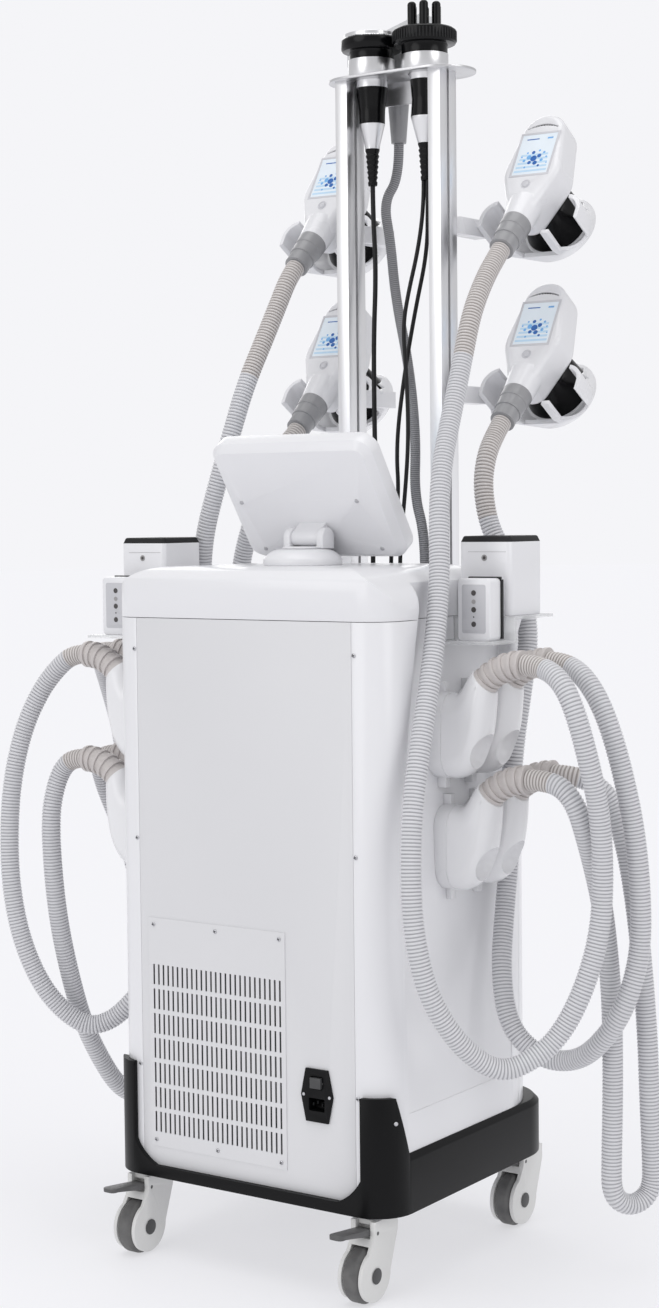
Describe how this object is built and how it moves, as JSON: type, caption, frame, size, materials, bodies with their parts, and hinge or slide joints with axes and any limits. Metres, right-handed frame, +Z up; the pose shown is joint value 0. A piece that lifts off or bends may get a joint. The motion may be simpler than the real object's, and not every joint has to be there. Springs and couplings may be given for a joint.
{
  "type": "cryolipolysis machine",
  "caption": "Wheeled fat-freezing trolley: white cabinet on a black base, mast with hung handpieces, screen handles on ribbed hoses, tilting monitor, spare applicators.",
  "frame": {"origin": "on the floor under the middle of the machine, between the cradle dishes at the front and the brake pedals at the rear", "axes": "+Z up, +Y out of the face with the mains inlet and vent, +X to the machine's left seen from its front"},
  "size_m": [0.9495, 0.6502, 1.742],
  "materials": {
    "body_white": "satin",
    "sheet_white": "satin",
    "base_black": "satin",
    "black_gloss": "glossy",
    "tyre": "matte",
    "steel": "satin",
    "aluminium": "satin",
    "hose_grey": "matte",
    "vacuum_grey": "matte",
    "cable_black": "matte",
    "grey_plastic": "matte",
    "plug_grey": "satin",
    "clear": "glossy",
    "screen": "glossy",
    "board_green": "matte"
  },
  "bodies": {
    "cabinet": {"base_shroud": "base_black", "chassis_plate": "steel", "side_shell_right": "body_white", "side_shell_left": "body_white", "front_panel": "body_white", "rear_panel": "sheet_white", "vent_panel": "sheet_white", "top_cover": "body_white", "rear_screws": "steel", "power_inlet": "base_black", "mast_plates": "aluminium", "mast_columns": "aluminium", "cavitation_handpiece": "black_gloss", "multipole_handpiece": "black_gloss", "vacuum_handpiece": "body_white", "handle_bodies": "body_white", "handle_screens": "screen", "handle_cups": "black_gloss", "handle_couplings": "grey_plastic", "handle_cradles": "body_white", "plug_docks": "plug_grey", "hose_plugs": "plug_grey", "side_trays": "clear", "spare_applicators": "body_white", "monitor_stand": "body_white", "radiator": "aluminium", "water_tank": "body_white", "vacuum_pump": "steel", "electronics": "board_green", "vacuum_hose": "vacuum_grey", "cavitation_cable": "cable_black", "multipole_lead_1": "cable_black", "multipole_lead_2": "cable_black", "upper_right_hose": "hose_grey", "lower_right_hose": "hose_grey", "right_loop_hose": "hose_grey", "upper_left_hose": "hose_grey", "lower_left_hose": "hose_grey", "left_loop_hose": "hose_grey"},
    "caster_rear_right": {"caster_fork_rear_right": "body_white"},
    "wheel_rear_right": {"caster_wheel_rear_right": "tyre"},
    "pedal_rear_right": {"brake_pedal_rear_right": "base_black"},
    "caster_rear_left": {"caster_fork_rear_left": "body_white"},
    "wheel_rear_left": {"caster_wheel_rear_left": "tyre"},
    "pedal_rear_left": {"brake_pedal_rear_left": "base_black"},
    "caster_front_right": {"caster_fork_front_right": "body_white"},
    "wheel_front_right": {"caster_wheel_front_right": "tyre"},
    "pedal_front_right": {"brake_pedal_front_right": "base_black"},
    "caster_front_left": {"caster_fork_front_left": "body_white"},
    "wheel_front_left": {"caster_wheel_front_left": "tyre"},
    "pedal_front_left": {"brake_pedal_front_left": "base_black"},
    "mains_rocker": {"power_rocker": "base_black"},
    "button_upper_left": {"handle_button_upper_left": "grey_plastic"},
    "button_lower_left": {"handle_button_lower_left": "grey_plastic"},
    "button_upper_right": {"handle_button_upper_right": "grey_plastic"},
    "button_lower_right": {"handle_button_lower_right": "grey_plastic"},
    "monitor_arm": {"monitor_yoke": "steel"},
    "monitor_head": {"monitor_shell": "body_white", "monitor_screen": "screen"},
    "fan": {"fan_rotor": "base_black"}
  },
  "joints": [
    {"name": "swivel_rear_right", "type": "hinge", "parent": "cabinet", "child": "caster_rear_right", "pos_m": [-0.187, 0.226, 0.095], "axis": [0, 0, 1], "continuous": true},
    {"name": "wheel_spin_rear_right", "type": "hinge", "parent": "caster_rear_right", "child": "wheel_rear_right", "pos_m": [-0.187, 0.258, 0.0375], "axis": [1, 0, 0], "continuous": true},
    {"name": "brake_rear_right", "type": "hinge", "parent": "caster_rear_right", "child": "pedal_rear_right", "pos_m": [-0.187, 0.253, 0.092], "axis": [-1, 0, 0], "range_deg": [0, 6]},
    {"name": "swivel_rear_left", "type": "hinge", "parent": "cabinet", "child": "caster_rear_left", "pos_m": [0.187, 0.226, 0.095], "axis": [0, 0, 1], "continuous": true},
    {"name": "wheel_spin_rear_left", "type": "hinge", "parent": "caster_rear_left", "child": "wheel_rear_left", "pos_m": [0.187, 0.258, 0.0375], "axis": [1, 0, 0], "continuous": true},
    {"name": "brake_rear_left", "type": "hinge", "parent": "caster_rear_left", "child": "pedal_rear_left", "pos_m": [0.187, 0.253, 0.092], "axis": [-1, 0, 0], "range_deg": [0, 6]},
    {"name": "swivel_front_right", "type": "hinge", "parent": "cabinet", "child": "caster_front_right", "pos_m": [-0.187, -0.158, 0.095], "axis": [0, 0, 1], "continuous": true},
    {"name": "wheel_spin_front_right", "type": "hinge", "parent": "caster_front_right", "child": "wheel_front_right", "pos_m": [-0.187, -0.126, 0.0375], "axis": [1, 0, 0], "continuous": true},
    {"name": "brake_front_right", "type": "hinge", "parent": "caster_front_right", "child": "pedal_front_right", "pos_m": [-0.187, -0.131, 0.092], "axis": [-1, 0, 0], "range_deg": [0, 6]},
    {"name": "swivel_front_left", "type": "hinge", "parent": "cabinet", "child": "caster_front_left", "pos_m": [0.187, -0.158, 0.095], "axis": [0, 0, 1], "continuous": true},
    {"name": "wheel_spin_front_left", "type": "hinge", "parent": "caster_front_left", "child": "wheel_front_left", "pos_m": [0.187, -0.126, 0.0375], "axis": [1, 0, 0], "continuous": true},
    {"name": "brake_front_left", "type": "hinge", "parent": "caster_front_left", "child": "pedal_front_left", "pos_m": [0.187, -0.131, 0.092], "axis": [-1, 0, 0], "range_deg": [0, 6]},
    {"name": "mains_rocker_tilt", "type": "hinge", "parent": "cabinet", "child": "mains_rocker", "pos_m": [-0.117, 0.26, 0.278], "axis": [1, 0, 0], "range_deg": [-8, 8]},
    {"name": "press_upper_left", "type": "slide", "parent": "cabinet", "child": "button_upper_left", "axis": [0, -0.8572, -0.515], "range_m": [0, 0.001], "stiffness_N_per_m": 800, "springref_m": -0.001},
    {"name": "press_lower_left", "type": "slide", "parent": "cabinet", "child": "button_lower_left", "axis": [0, -0.8572, -0.515], "range_m": [0, 0.001], "stiffness_N_per_m": 800, "springref_m": -0.001},
    {"name": "press_upper_right", "type": "slide", "parent": "cabinet", "child": "button_upper_right", "axis": [0, -0.8572, -0.515], "range_m": [0, 0.001], "stiffness_N_per_m": 800, "springref_m": -0.001},
    {"name": "press_lower_right", "type": "slide", "parent": "cabinet", "child": "button_lower_right", "axis": [0, -0.8572, -0.515], "range_m": [0, 0.001], "stiffness_N_per_m": 800, "springref_m": -0.001},
    {"name": "monitor_turn", "type": "hinge", "parent": "cabinet", "child": "monitor_arm", "pos_m": [0, 0.113, 0.971], "axis": [0, 0, 1], "range_deg": [-60, 60]},
    {"name": "monitor_tilt", "type": "hinge", "parent": "monitor_arm", "child": "monitor_head", "pos_m": [0, 0.09866, 0.98493], "axis": [-1, 0, 0], "range_deg": [-3, 30]},
    {"name": "fan_spin", "type": "hinge", "parent": "cabinet", "child": "fan", "pos_m": [0.048, 0.194, 0.31], "axis": [0, 1, 0], "continuous": true}
  ]
}
